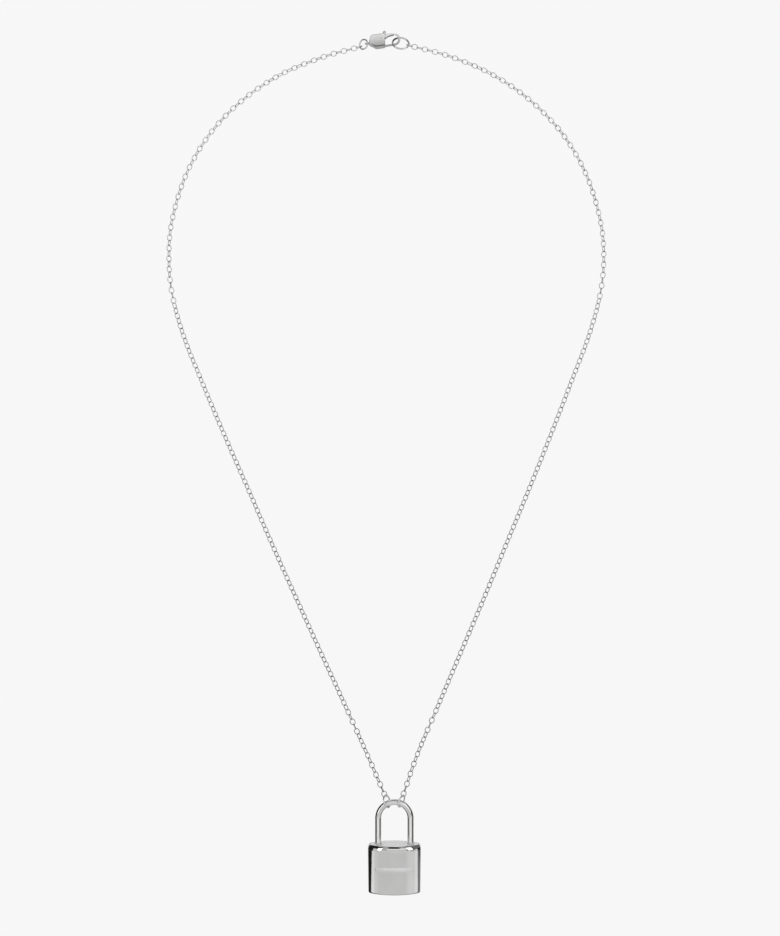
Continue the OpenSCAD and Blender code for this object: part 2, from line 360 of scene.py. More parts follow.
def outline(inset, bow_points=120, corner_points=16):
    """Points round the case, brought in by an even distance. A quarter is an arc about the corner's centre
    and then one about the bow's centre, both with their radius less the inset. Mirroring makes the half and
    turning it by half a turn makes the whole."""
    corner = np.linspace(0, np.pi / 2 - bow_half, corner_points, endpoint=False)
    bow = np.linspace(np.pi / 2 - bow_half, np.pi / 2, bow_points + 1)
    corner_out, bow_out = CORNER_R - inset, BOW_R - inset
    quarter = np.concatenate([
        np.stack([corner_x + corner_out * np.cos(corner), corner_y + corner_out * np.sin(corner)], 1),
        np.stack([bow_out * np.cos(bow), bow_y + bow_out * np.sin(bow)], 1)])
    half = np.concatenate([quarter, quarter[-2::-1] * [-1, 1]])[:-1]
    return np.concatenate([half, -half])


print("case outline of", len(outline(0)), "points")

# %% [markdown]
# ## A struck row on the front
# A line of small marks runs across the front. Here it is a plain jeweller's row of punched lozenges. They
# could be painted by a bump, but real marks have walls that mirror other parts of the room, so the points
# of the front are pressed in. The levels lie closer together there, which gives each mark enough points for
# its shape.

# %% Struck row
ROW_Z, ROW_HALF, ROW_LIFT = -222.66, 5.5, 0.35
MARK_PITCH, MARK_W, MARK_H = 0.52, 0.25, 0.68
MARK_DEPTH, MARK_TOP = 0.045, 0.3
FROST_DEPTH, FROST_SHARE = 0.012, 0.6


def row_depth(x, z):
    """How far the front is pressed in. Every mark is a pointed lozenge that sinks slowly from its foot and
    rises steeply at its head: the depth is the smaller of two ramps along the height, less |x|/width. It
    repeats at one distance along x and stops at the row's ends, and the row rises towards its middle as a
    parabola."""
    along = x - LOCK_X
    middle = ROW_Z + ROW_LIFT * (1 - (along / ROW_HALF) ** 2)
    across = np.abs(along - MARK_PITCH * np.round(along / MARK_PITCH)) / MARK_W
    up = (z - middle) / MARK_H
    ramp = np.minimum((up + 1) / (2 - MARK_TOP), (1 - up) / MARK_TOP)
    return np.where(np.abs(along) < ROW_HALF, MARK_DEPTH * np.clip(ramp - across, 0, 1), 0)


def case_frost(points):
    """Where the mop does not reach: all of the flat top, and in the marks a share that is full from a small
    depth."""
    marks = FROST_SHARE * np.clip(row_depth(points[:, 0], points[:, 2]) / FROST_DEPTH, 0, 1)
    return np.where(points[:, 1] < 0, marks, 0) + (points[:, 2] > CASE_TOP - 0.01)


print("struck row of", 2 * int(ROW_HALF / MARK_PITCH) + 1, "marks")

# %% [markdown]
# ## The case's sides
# The sides are a stack of outlines, from the rounded foot to the soft top edge. A bevel would round the
# edges too, but levels put points where the marks need them and keep the shading of the plain parts even.

# %% Case sides
ROW_MARGIN = 0.02


def case_levels():
    """Inset and height of each level: a quarter circle at the bottom, closer levels across the row, and a
    quarter ellipse at the top that comes in and reaches down by its own two radii. A few levels close to
    each edge keep the shading of the plain side from bending with it. The taper adds to the inset in
    proportion to the way down."""
    low, high = np.linspace(0, np.pi / 2, 11), np.linspace(0, np.pi / 2, 33)
    near = np.array([0.002, 0.02, 0.06])
    bottom = np.stack([BOTTOM_R * (1 - np.sin(low)), -CASE_H + BOTTOM_R * (1 - np.cos(low))], 1)
    row = ROW_Z - CASE_TOP + np.linspace(-MARK_H - ROW_MARGIN, MARK_H + ROW_LIFT + ROW_MARGIN, 49)
    foot = -CASE_H + BOTTOM_R
    middle = np.concatenate([foot + near, np.linspace(foot, row[0], 7)[1:-1], row,
                             np.linspace(row[-1], -TOP_H, 6)[1:-1], -TOP_H - near[::-1]])
    top = np.stack([TOP_IN * (1 - np.cos(high)), -TOP_H * (1 - np.sin(high))], 1)
    levels = np.concatenate([bottom, np.stack([0 * middle, middle], 1), top])
    levels[:, 0] -= TAPER * levels[:, 1] / CASE_H
    return levels


def case_side():
    """The stack of outlines, with the struck row pressed into the front along the bow's own radius."""
    count = len(outline(0))
    grid = np.stack([np.column_stack([outline(inset), np.full(count, z)]) for inset, z in case_levels()])
    grid += [LOCK_X, 0, CASE_TOP]
    bow_centre = np.array([LOCK_X, -bow_y])
    inwards = unit(bow_centre - grid[..., :2])
    depth = np.where(grid[..., 1] < 0, row_depth(grid[..., 0], grid[..., 2]), 0)
    grid[..., :2] += inwards * depth[..., None]
    return grid


walls = case_side()
print("case sides of", len(walls), "levels")

# %% [markdown]
# ## The case's top
# The top is flat and has the two holes of the shackle's legs, so each half of it is a grid between the half
# outline and the circle of its hole, with points on the same rays from the hole's middle. A boolean cut
# would do it too, but leaves long thin faces that spoil a mirror.

# %% Case top
ROD_D, SHACKLE_W, LEG_GAP = 1.65, 10.4, 0.1
HOLE_R, HOLE_DEPTH, HOLE_EDGE = ROD_D / 2 + LEG_GAP, 3.2, 0.06
ARCH_R = (SHACKLE_W - ROD_D) / 2


def case_top(side):
    """Half of the top: rays from the hole's middle to the half outline and to the middle line carry the
    points. The last rows turn down into the hole."""
    edge = outline(TOP_IN)
    half = edge[edge[:, 0] * side > -1e-6]
    line = np.linspace(half[:, 1].min(), half[:, 1].max(), 42)[1:-1]
    rim = np.concatenate([half, np.column_stack([0 * line, line])])
    hole = np.array([side * ARCH_R, 0])
    rim = rim[np.argsort(np.arctan2(*(rim - hole).T[::-1]))]
    ray = unit(rim - hole)
    rows = 7
    share = np.linspace(0, 1, rows)[:, None, None]
    flat = rim * (1 - share) + (hole + ray * (HOLE_R + HOLE_EDGE)) * share
    wall = np.stack([hole + ray * HOLE_R] * 2)
    height = np.concatenate([np.zeros(rows), [-HOLE_EDGE, -HOLE_DEPTH]])
    grid = np.concatenate([flat, wall])
    grid = np.concatenate([grid, np.broadcast_to(height[:, None, None], grid.shape[:2] + (1,))], -1)
    return grid + [LOCK_X, 0, CASE_TOP]


tops = [shell(case_top(side), caps=(-1,)) for side in (-1, 1)]
padlock_case = make_mesh("padlock_case", [shell(walls, caps=(0,)), *tops])
mark_frost_and_shade(padlock_case, case_frost)
finish(padlock_case, case_silver, "pendant", "lock_body")

# %% [markdown]
# ## The shackle
# A round rod, bent to a half circle on two straight legs that go down into the case. On the real one it is
# drawn bar, so it is one tube here: a circle carried along the path in the plane of the arch's outward
# direction and the front. The two ends lie inside the case, where nobody sees them, so plain flat ends are
# enough. The jump rings rub on the bend, which is satin there, and the legs keep their polish.

# %% Shackle
SHACKLE_RISE, PLAY = 12, 0.04
ARCH_Z = CASE_TOP + SHACKLE_RISE - SHACKLE_W / 2
LEG = SHACKLE_RISE - SHACKLE_W / 2 + HOLE_DEPTH - PLAY
SATIN_FROM, SATIN_FADE = 2.9, 1.2


def shackle_grid():
    """The rod: up a leg, over a half circle and down again, 28 points round."""
    leg, arch = np.linspace(-LEG, 0, 12, endpoint=False), np.linspace(np.pi, 0, 97)
    angle = np.concatenate([np.full(len(leg), np.pi), arch, np.zeros(len(leg))])
    lift = np.concatenate([leg, np.zeros(len(arch)), leg[::-1]])
    outward = np.stack([np.cos(angle), 0 * angle, np.sin(angle)], 1)
    path = ARCH_R * outward + lift[:, None] * [0, 0, 1] + [LOCK_X, 0, ARCH_Z]
    return tube(path, outward, np.broadcast_to([0, 1, 0], path.shape), ROD_D / 2, 28)


def satin_bend(points):
    """0 on the legs, rising to 1 over a short height near the top of the bend."""
    return np.clip((points[:, 2] - ARCH_Z - SATIN_FROM) / SATIN_FADE, 0, 1)


shackle = make_mesh("padlock_shackle", [shell(shackle_grid(), caps=BOTH_ENDS)])
mark_frost_and_shade(shackle, satin_bend)
finish(shackle, rod_silver, "pendant", "shackle")

# %% [markdown]
# ## Jump rings
# Four wire rings join the chain to the padlock and to the clasp. A jump ring is a turn of wire sawn off a
# coil and bent shut, so it has a fine cut where its ends meet. A ready torus would miss that, and the tube
# above only needs a path that stops a hair short of a full turn.

# %% Jump rings
CUT = 0.035


def jump_ring(outer_d, wire, cut_at):
    """A ring about z with its cut at an angle in degrees: the wire's middle runs on a circle whose ends
    stop half a cut short of each other."""
    radius = (outer_d - wire) / 2
    short = CUT / 2 / radius
    a = np.radians(cut_at) + np.linspace(short, 2 * np.pi - short, 97)
    outward = np.stack([np.cos(a), np.sin(a), 0 * a], 1)
    return tube(radius * outward, outward, np.broadcast_to([0, 0, 1], outward.shape), wire / 2, 18)


HANG_D, HANG_WIRE, HANG_REACH, HANG_TURN = 3.72, 0.38, 0.615, -26
for name, node, at, lean, cut_at in (("hang_ring_left", "ring_left", -24.5, -20, 150),
                                     ("hang_ring_right", "ring_right", 23, 18, 210)):
    ring = placed(jump_ring(HANG_D, HANG_WIRE, cut_at), turned(0, 0, HANG_TURN) @ turned(0, 90, 0),
                  [0, 0, HANG_REACH])
    off_top = math.radians(at)
    arch = np.array([LOCK_X + ARCH_R * math.sin(off_top), 0, ARCH_Z + ARCH_R * math.cos(off_top)])
    obj = make_mesh(name, [shell(placed(ring, turned(0, lean, 0), arch), caps=BOTH_ENDS)])
    mark_frost_and_shade(obj, no_frost_or_shade)
    finish(obj, wire_silver, "pendant", node)

# %% [markdown]
# ## The chain
# Each half is about 170 oval links of thin round wire, each turned a quarter against its neighbour. A real
# chain could be made by linking ready rings one by one, but here one link is a grid of points, and the
# whole half is that grid carried to every place along the route and rolled about the route there. The route
# is the same list as in the construction model, with a smooth curve through its points.

# %% Routes
LEFT_ROUTE = [
    [-7.3, 1.4, -0.7], [-17, 0.7, -3.6], [-28.5, 0.2, -8.5], [-38.8, 0, -15.5],
    [-47.5, 0, -24.5], [-53.9, 0, -35.4], [-57.7, 0, -47.6], [-58.6, 0, -57.8],
    [-57.7, 0, -68], [-54.6, 0, -79.2], [-50.3, 0, -90], [-44, 0, -105],
    [-37.4, 0, -120], [-30.9, 0, -135], [-24.2, 0, -150], [-17.4, 0, -165],
    [-10.5, 0, -180], [-5.1, 0, -192], [-0.45, 0, -202.8]]
RIGHT_ROUTE = [
    [6.35, -0.7, -0.9], [17, -0.2, -3.6], [28.5, 0, -8.4], [38.8, 0, -15.4],
    [47.6, 0, -24.5], [54, 0, -35.4], [57.8, 0, -47.6], [58.8, 0, -57.8],
    [57.8, 0, -68], [54.7, 0, -79.2], [50.6, 0, -90], [44.8, 0, -105],
    [38.8, 0, -120], [32.6, 0, -135], [26.4, 0, -150], [20, 0, -165],
    [13.6, 0, -180], [8.5, 0, -192], [4.75, 0, -202.7]]
LINK_PITCH, LINK_WIDTH, LINK_PLAY = 1.42, 1.55, 0.02
WIRE = 0.23
DENSE, LOOK = 6000, 0.05


def curve_through(points, spans):
    """Cubic curve through the points: at u it blends the four nearest ones so that it passes through each
    with a slope parallel to the line between its neighbours. Past each end the next point is mirrored."""
    p = np.array(points, float)
    p = np.vstack([2 * p[0] - p[1], p, 2 * p[-1] - p[-2]])
    i = np.minimum(np.floor(spans).astype(int), len(points) - 2)
    t = (spans - i)[:, None]
    a, b, c, d = p[i], p[i + 1], p[i + 2], p[i + 3]
    return 0.5 * (2 * b + (c - a) * t + (2 * a - 5 * b + 4 * c - d) * t**2 + (3 * b - 3 * c + d - a) * t**3)


def even_places(points, pitch):
    """Centres and headings of links at one even distance, as near to the pitch as fits the whole route."""
    dense = curve_through(points, np.linspace(0, len(points) - 1, DENSE))
    run = np.concatenate([[0], np.cumsum(np.linalg.norm(np.diff(dense, axis=0), axis=1))])
    wanted = np.linspace(0, run[-1], int(round(run[-1] / pitch)) + 1)
    at, ahead, behind = (np.stack([np.interp(wanted + shift, run, dense[:, k]) for k in range(3)], 1)
                         for shift in (0, LOOK, -LOOK))
    return at, unit(ahead - behind)


print("routes of", len(LEFT_ROUTE), "and", len(RIGHT_ROUTE), "points")

# %% [markdown]
# ## Links
# Neighbouring links stand at right angles, or nearly so, and the whole chain is twisted about itself. Over
# the top one kind of link shows wide and the other narrow. A third of the way down the chain turns over
# within a few links, and from there both kinds show at about half a right angle. Near the padlock it turns
# once more. Over the neck the links keep their plain colour, and from there down they are a little darker
# in proportion to the way down.
#
# A twist like this could be one number per link, but a short table of angles along the way is easier to
# change. With hundreds of links, each has to be light: a dozen points round and six across the wire look
# round at this size.

# %% Links
AROUND, SIDES = 12, 6


def link_grid(around, sides, wire):
    """One oval link along x in the xy plane: the wire's middle runs round an ellipse, and the wire is a
    circle in the plane of the ellipse's outward normal and z. Its length leaves room for the wire of both
    neighbours."""
    half_length, half_width = (LINK_PITCH + wire + LINK_PLAY) / 2, (LINK_WIDTH - wire) / 2
    a = np.linspace(0, 2 * np.pi, around, endpoint=False)
    path = np.stack([half_length * np.cos(a), half_width * np.sin(a), 0 * a], 1)
    outward = unit(np.stack([half_width * np.cos(a), half_length * np.sin(a), 0 * a], 1))
    return tube(path, outward, np.broadcast_to([0, 0, 1], path.shape), wire / 2, sides)


def link_frames(heading, roll):
    """Rows of each link's own x, y and z: along the heading, across it, and through the link, after a roll
    in degrees. At no roll the link lies in the plane of the loop."""
    level = unit(np.cross(heading, [0, 1, 0]))
    front = np.cross(level, heading)
    roll = np.radians(roll)[:, None]
    across = np.cos(roll) * level + np.sin(roll) * front
    return np.stack([heading, across, np.cos(roll) * front - np.sin(roll) * level], 1)


TWIST = np.array([
    # share of the half, roll of the even links, roll of the odd links, in degrees
    (0, -90, 10), (0.012, -62, 14), (0.03, -58, 26), (0.06, -56, 34), (0.075, -48, 40), (0.1, -48, 38),
    (0.115, -57, 34), (0.36, -58, 36), (0.385, -76, 18), (0.39, -90, 8), (0.397, -112, -8),
    (0.41, -144, -42), (0.895, -145, -42), (0.911, -178, -76), (0.917, -180, -90), (0.9226, -182, -104),
    (0.935, -218, -138), (0.95, -236, -142), (0.965, -238, -162), (0.98, -240, -152), (0.989, -244, -170),
    (1, -264, -180)])


def twist(count):
    """Roll of every link of a half: each kind follows its own column of the table, straight from row to
    row."""
    share = np.linspace(0, 1, count)
    even, odd = (np.interp(share, TWIST[:, 0], TWIST[:, kind]) for kind in (1, 2))
    return np.where(np.arange(count) % 2, odd, even)


print("a link of", AROUND * SIDES, "points, with", len(TWIST), "rows of twist")

# %% [markdown]
# ## Both halves
# All loose links of a half are one mesh, because they are one part in the construction model. Copies of one
# ring would do as well, but they would be hundreds of objects. Here the points of one link are multiplied
# by the three directions of every place along the route, all at once.

# %% Chain halves
DARKEN_FROM, DARKEN_FADE = 45, 110


def darker_downwards(points):
    """How much darker the chain is: not at all over the neck, and more in proportion to the way down."""
    return np.clip((-points[:, 2] - DARKEN_FROM) / DARKEN_FADE, 0, 1)


def chain_half(name, route, mirrored):
    """All loose links of one half in one mesh: every link's points are one grid, turned and moved."""
    centres, heading = even_places(route, LINK_PITCH)
    frames = link_frames(heading, mirrored * twist(len(centres)))
    link = link_grid(AROUND, SIDES, WIRE)
    points = np.einsum("abk,nkx->nabx", link, frames[1:-1]) + centres[1:-1, None, None]
    quads = grid_faces(AROUND, SIDES, True)
    numbers = quads[None] + np.arange(len(points))[:, None, None] * AROUND * SIDES
    print(name, "has", len(points), "loose links")
    return make_mesh(name, [(points.reshape(-1, 3), numbers.reshape(-1, 4).tolist())], sharp=180)


for name, node, route, mirrored in (("links_left", "chain_left", LEFT_ROUTE, 1),
                                    ("links_right", "chain_right", RIGHT_ROUTE, -1)):
    links = chain_half(name, route, mirrored)
    mark_frost_and_shade(links, darker_downwards)
    finish(links, chain_silver, "root", node)

# %% [markdown]
# ## End links
# The first and last link of each half are parts of their own in the construction model, because they run
# through the jump rings. They could be copies of a loose link, but they are seen close up beside the
# padlock and the clasp, so the same grid is made for them with more points.

# %% End links


def end_link(name, node, route, last, roll):
    """The first or last link of a half, where the route begins or ends."""
    centres, heading = even_places(route, LINK_PITCH)
    pick = -1 if last else 0
    basis = link_frames(heading[[pick]], np.array([roll]))[0]
    grid = link_grid(40, 12, WIRE) @ basis + centres[pick]
    obj = make_mesh(name, [shell(grid, close_rows=True)], sharp=180)
    mark_frost_and_shade(obj, darker_downwards)
    finish(obj, chain_silver, "root", node)


end_link("last_link_left", "end_link_left", LEFT_ROUTE, True, 0)
end_link("last_link_right", "end_link_right", RIGHT_ROUTE, True, 0)
end_link("first_link_tail", "end_link_tail", LEFT_ROUTE, False, 90)
end_link("first_link_catch", "end_link_catch", RIGHT_ROUTE, False, 90)

# %% [markdown]
# ## The clasp
# A trigger clasp: a slotted case with an eye at its tail and a bent hook at its nose, and a lever that
# turns on a pin and shuts the hook. The real one is cast in one piece round its slot. Here the case is two
# cheeks with a bridge between them. Each is a stack of one outline, the hull of five circles, which is
# found by asking for every direction which circle reaches furthest.

# %% Clasp case
CLASP_AT, CLASP_TURN = [-2.3, 0, 0.4], turned(-4, -8.5, 0)
CLASP_T, SLOT_T, BEVEL, DOME = 2.4, 0.8, 0.32, 0.07
CORNERS = np.array([
    # x, z and radius of each circle
    [-0.9, 0.7, 1.1], [1.75, 1.4, 0.4], [1.55, -1.4, 0.4], [-0.35, -1.2, 0.6], [-1.9, -0.3, 0.45]])
SLOT_X, SLOT_Z = 0.25, -0.6


def clasp_outline(inset, count=160):
    """Hull of the corner circles, brought in by an even distance: for each direction, the point that far
    out on the circle that reaches furthest that way."""
    a = np.linspace(0, 2 * np.pi, count, endpoint=False)
    way = np.stack([np.cos(a), np.sin(a)], 1)
    furthest = np.argmax(way @ CORNERS[:, :2].T + CORNERS[:, 2], axis=1)
    return CORNERS[furthest, :2] + (CORNERS[furthest, 2] - inset)[:, None] * way


def lift(flat, y):
    """Flat outline points at a height through the clasp: x and z from the outline, y given."""
    return np.stack([flat[..., 0], np.broadcast_to(y, flat.shape[:-1]), flat[..., 1]], -1)


def cheek(side):
    """Half of the case: the slot's wall, a straight side, a quarter round edge, and a face that swells
    towards its middle, where the outline has shrunk to a point."""
    a = np.linspace(0, np.pi / 2, 9)
    flank = CLASP_T / 2 - DOME
    edge = [lift(clasp_outline(BEVEL * (1 - math.cos(k))), side * (flank - BEVEL * (1 - math.sin(k))))
            for k in a]
    rim, middle = clasp_outline(BEVEL), CORNERS[:, :2].mean(0)
    face = [lift(middle + (rim - middle) * k, side * (CLASP_T / 2 - DOME * k**2))
            for k in (0.92, 0.8, 0.6, 0.3, 0)]
    wall = [lift(middle + (clasp_outline(0) - middle) * k, side * SLOT_T / 2) for k in (0, 1)]
    return np.stack(wall + edge + face)


def bridge():
    """The solid part between the cheeks: the outline where there is no slot, closed through the slot's
    corner."""
    rim = clasp_outline(0)
    solid = (rim[:, 0] < SLOT_X) | (rim[:, 1] < SLOT_Z)
    start = np.flatnonzero(solid & ~np.roll(solid, 1))[0]
    rim = np.roll(rim, -start, axis=0)[np.roll(solid, -start)]
    first = [rim[0, 0], SLOT_Z] if rim[0, 1] < SLOT_Z else [SLOT_X, rim[0, 1]]
    last = [SLOT_X, rim[-1, 1]] if rim[-1, 0] < SLOT_X else [rim[-1, 0], SLOT_Z]
    rim = np.vstack([first, rim, last, [SLOT_X, SLOT_Z]])
    return np.stack([lift(rim, y) for y in (-SLOT_T / 2, SLOT_T / 2)])


print("bridge of", bridge().shape[1], "points round")

# %% [markdown]
# ## Hook and eye
# The hook is a round bar that leaves the case low, runs forward and bends up and back round the nose. The
# eye is a small ring at the tail that lies flat, so that the jump ring through it can stand up. Both are
# tubes again. Painted shade draws a dark line where the case's lower edge meets its faces, and darkens the
# faces towards the bottom.

# %% Hook and eye
HOOK_D, NOSE_R, NOSE_AT, NOSE_END = 0.56, 1.45, (4.45, -0.1), 64
TIP_LEFT = 0.0004
EYE_AT, EYE_R, EYE_WIRE = (-2.75, -0.15), 0.52, 0.4
LINE_Z, LINE_HALF, LINE_FROM, LINE_TO, LINE_OUT = -1.56, 0.2, -1.2, 1.8, 0.8
FACE_SHADE, FACE_TOP, FACE_DROP = 0.45, 1.4, 2.4


def hook_grid():
    """The bar: straight along x, then round the nose. Past its end the radius falls like a circle's edge,
    which makes a round tip."""
    run = np.linspace(1.15, NOSE_AT[0], 12, endpoint=False)
    a = np.radians(np.linspace(-90, NOSE_END, 60))
    tip = np.linspace(0, 1, 7)[1:]
    past = a[-1] + tip * HOOK_D / 2 / NOSE_R
    angle = np.concatenate([np.full(len(run), -np.pi / 2), a, past])
    outward = np.stack([np.cos(angle), 0 * angle, np.sin(angle)], 1)
    start = np.concatenate([run, np.full(len(angle) - len(run), NOSE_AT[0])])
    path = NOSE_R * outward + np.stack([start, 0 * start, 0 * start + NOSE_AT[1]], 1)
    narrowing = np.sqrt(np.maximum(1 - tip**2, TIP_LEFT))
    radius = HOOK_D / 2 * np.concatenate([np.ones(len(run) + len(a)), narrowing])
    return tube(path, outward, np.broadcast_to([0, 1, 0], path.shape), radius, 20)


def eye_grid():
    """A full ring about z at the tail."""
    a = np.linspace(0, 2 * np.pi, 48, endpoint=False)
    outward = np.stack([np.cos(a), np.sin(a), 0 * a], 1)
    path = EYE_R * outward + [EYE_AT[0], 0, EYE_AT[1]]
    return tube(path, outward, np.broadcast_to([0, 0, 1], path.shape), EYE_WIRE / 2, 18)


def clasp_shell(points, **ends):
    """A shell whose points are given in the clasp's own frame."""
    return shell(placed(points, CLASP_TURN, CLASP_AT), **ends)


clasp = make_mesh("clasp_case", [
    clasp_shell(cheek(-1)), clasp_shell(cheek(1)), clasp_shell(bridge(), caps=BOTH_ENDS),
    clasp_shell(hook_grid(), caps=BOTH_ENDS), clasp_shell(eye_grid(), close_rows=True)])


def own_frame(points):
    """From the necklace's frame back to the clasp's own."""
    return (points - CLASP_AT) @ CLASP_TURN


def painted_clasp_shade(points):
    """Painted shade: 1 in the narrow line where the lower edge meets the front and back faces, fading to 0
    beside it. Down the faces it grows from 0 to a lighter painted shade, in proportion to the way down."""
    own = own_frame(points)
    low = np.clip(1.3 - np.abs(own[:, 2] - LINE_Z) / LINE_HALF, 0, 1)
    along = (own[:, 0] > LINE_FROM) & (own[:, 0] < LINE_TO)
    line = np.where((np.abs(own[:, 1]) > LINE_OUT) & along, low, 0)
    return np.maximum(line, FACE_SHADE * np.clip((FACE_TOP - own[:, 2]) / FACE_DROP, 0, 1))


mark_frost_and_shade(clasp, painted_clasp_shade)
finish(clasp, clasp_silver, "root", "clasp_body")

# %% [markdown]
# ## Lever and pin
# The lever is cut from sheet: an arm from the pin to the hook's tip, and a stem that carries a round thumb
# knob. Its corner points are few, so they are cut back three times, which turns them into a smooth outline.
# Cutting keeps the outline inside the corners, so the lever still clears the slot. The pin is a short
# turned rod with low heads.

# %% Lever outlines
PIVOT, LEVER_T, LEVER_EDGE = (1, 0.4), 0.66, 0.1
ARM = [[0.5, 0], [1.7, 0], [2.2, 0.35], [3, 0.85], [4.48, 1.02], [4.73, 1.1], [4.73, 1.42], [4.48, 1.52],
       [3.6, 1.65], [2.2, 1.7], [0.5, 0.9]]
ARM_BELOW = np.array(ARM[1:6])
STEM = [[1.8, 1.3], [2.6, 1.3], [2.5, 2.3], [1.9, 2.3]]
KNOB_AT, KNOB_R, DISC_R, RIVET_D, RIVET_DOME = (2.2, 2.18), 0.44, 0.62, 0.5, 0.07


def cut_corners(points, times=3):
    """Closed outline with each corner replaced by two points, a quarter and three quarters along its two
    sides, as often as asked."""
    p = np.array(points, float)
    for _ in range(times):
        following = np.roll(p, -1, axis=0)
        p = np.stack([0.75 * p + 0.25 * following, 0.25 * p + 0.75 * following], 1).reshape(-1, 2)
    return p


def plate(rim, thickness, edge):
    """Sheet with rounded edges: the outline, brought in along its normals by a quarter circle towards each
    face."""
    along = unit(np.roll(rim, -1, axis=0) - np.roll(rim, 1, axis=0))
    inwards = np.stack([-along[:, 1], along[:, 0]], 1)
    a = np.linspace(-np.pi / 2, np.pi / 2, 12)
    flat = np.where(a < 0, -1, 1) * (thickness / 2 - edge)
    return np.stack([lift(rim + inwards * edge * (1 - math.cos(k)), y + edge * math.sin(k))
                     for k, y in zip(a, flat)])


def lathe(profile, at, about_y, sides=32):
    """Turned form: radius and height pairs carried round the y axis or the z axis through a point."""
    a = np.linspace(0, 2 * np.pi, sides, endpoint=False)[None]
    r, h = profile[:, :1], profile[:, 1:] + 0 * a
    flat = (r * np.cos(a), h, r * np.sin(a)) if about_y else (r * np.cos(a), r * np.sin(a), h)
    return np.stack(flat, -1) + [at[0], 0, at[1]]


def circle_outline(radius, at, count=40):
    """Points round a circle in the plane of the lever."""
    a = np.linspace(0, 2 * np.pi, count, endpoint=False)
    return np.stack([at[0] + radius * np.cos(a), at[1] + radius * np.sin(a)], 1)


print("arm of", len(cut_corners(ARM)), "points round")

# %% [markdown]
# ## The lever and the pin as pieces
# The arm, its disc round the pin, the stem and the ball of the knob are closed shells that run into each
# other, as parts that are brazed together do. One outline for all four would save faces that nobody sees,
# but a ball can't be part of it. Painted shade darkens the arm's lower edge, and a lighter painted shade
# covers the knob.

# %% Lever and pin pieces
KNOB_FROM, KNOB_SHADE, ARM_FROM, ARM_SHADE, ARM_FADE = 1.75, 0.3, 1.9, 0.85, 0.25
latitude = np.linspace(-np.pi / 2, np.pi / 2, 17)
knob = KNOB_R * np.stack([np.cos(latitude), np.sin(latitude)], 1)
flat_parts = (cut_corners(ARM), cut_corners(STEM, 1), circle_outline(DISC_R, PIVOT))
plates = [clasp_shell(plate(rim, LEVER_T, LEVER_EDGE), caps=BOTH_ENDS) for rim in flat_parts]
lever = make_mesh("clasp_trigger", [*plates, clasp_shell(lathe(knob, KNOB_AT, False))])


def painted_lever_shade(points):
    """Painted shade: dark on the arm's lower edge, fading to 0 a quarter of a millimetre above it, and one
    light painted shade on the knob."""
    own = own_frame(points)
    above = own[:, 2] - np.interp(own[:, 0], ARM_BELOW[:, 0], ARM_BELOW[:, 1])
    arm = ARM_SHADE * np.clip(1 - above / ARM_FADE, 0, 1) * (own[:, 0] > ARM_FROM)
    return np.where(own[:, 2] > KNOB_FROM, KNOB_SHADE, arm)


mark_frost_and_shade(lever, painted_lever_shade)
finish(lever, clasp_silver, "lever", "clasp_lever")

head = np.linspace(0, np.pi / 2, 6)
end = np.stack([RIVET_D / 2 * np.sin(head), RIVET_DOME * np.cos(head) + CLASP_T / 2 - RIVET_DOME], 1)
pin_grid = lathe(np.concatenate([end, end[::-1] * [1, -1]]), PIVOT, True)
pin = make_mesh("clasp_pin", [clasp_shell(pin_grid)])
finish(pin, rivet_silver, "root", "clasp_rivet")

# %% [markdown]
# ## The two rings at the clasp
# The tail ring stands through the clasp's eye and turns away from it a little, and the catch ring hangs
# tilted in the hook. Both get their tilt from the same angles as in the construction model. Where the catch
# ring turns in the hook, a painted shadow darkens it.

# %% Clasp rings
TAIL_D, TAIL_WIRE, TAIL_TURN, TAIL_LEVEL = 3.02, 0.42, 34, turned(4, 8.5, 0)
CATCH_D, CATCH_WIRE, CATCH_TILT, CATCH_AT = 4.86, 0.46, turned(-34.8, 13.7, -4.3), [3.97, -0.45, -0.22]
SHADOW_X, SHADOW_Z, SHADOW_R = 2.38, 1.05, 0.85
standing = turned(90, 0, 0)


def painted_hook_shadow(points):
    """Painted shadow of the hook: 1 round the place where the hook covers the catch ring, fading to 0
    further along the ring.
    """
    return np.clip(1.5 - np.hypot(points[:, 0] - SHADOW_X, points[:, 2] - SHADOW_Z) / SHADOW_R, 0, 1)


tail = placed(jump_ring(TAIL_D, TAIL_WIRE, 75), standing, [-(TAIL_D - TAIL_WIRE) / 2, 0, 0])
tail = placed(tail, TAIL_LEVEL @ turned(0, 0, -TAIL_TURN), [EYE_AT[0], 0, EYE_AT[1]])
tail_ring = make_mesh("tail_ring", [clasp_shell(tail, caps=BOTH_ENDS)])
mark_frost_and_shade(tail_ring, no_frost_or_shade)
finish(tail_ring, wire_silver, "root", "ring_tail")
catch = placed(jump_ring(CATCH_D, CATCH_WIRE, 60), CATCH_TILT @ standing, CATCH_AT)
catch_ring = make_mesh("catch_ring", [shell(catch, caps=BOTH_ENDS)])
mark_frost_and_shade(catch_ring, painted_hook_shadow)
finish(catch_ring, wire_silver, "root", "ring_catch")

# %% [markdown]
# ## The studio
# The floor is pale paper that sweeps up into a wall on every side, so that no edge shows behind the
# necklace from any angle. It glows a little by itself, which stands for the even light that a photographer
# puts on a backdrop. The silver does not mirror the paper: it mirrors the light tent below.

# %% Floor
FLOOR_Z = -0.262
FLOOR_FLAT = 0.9
COVE_RADIUS = 0.5
WALL_TOP = 1.6
PAPER = 0.915


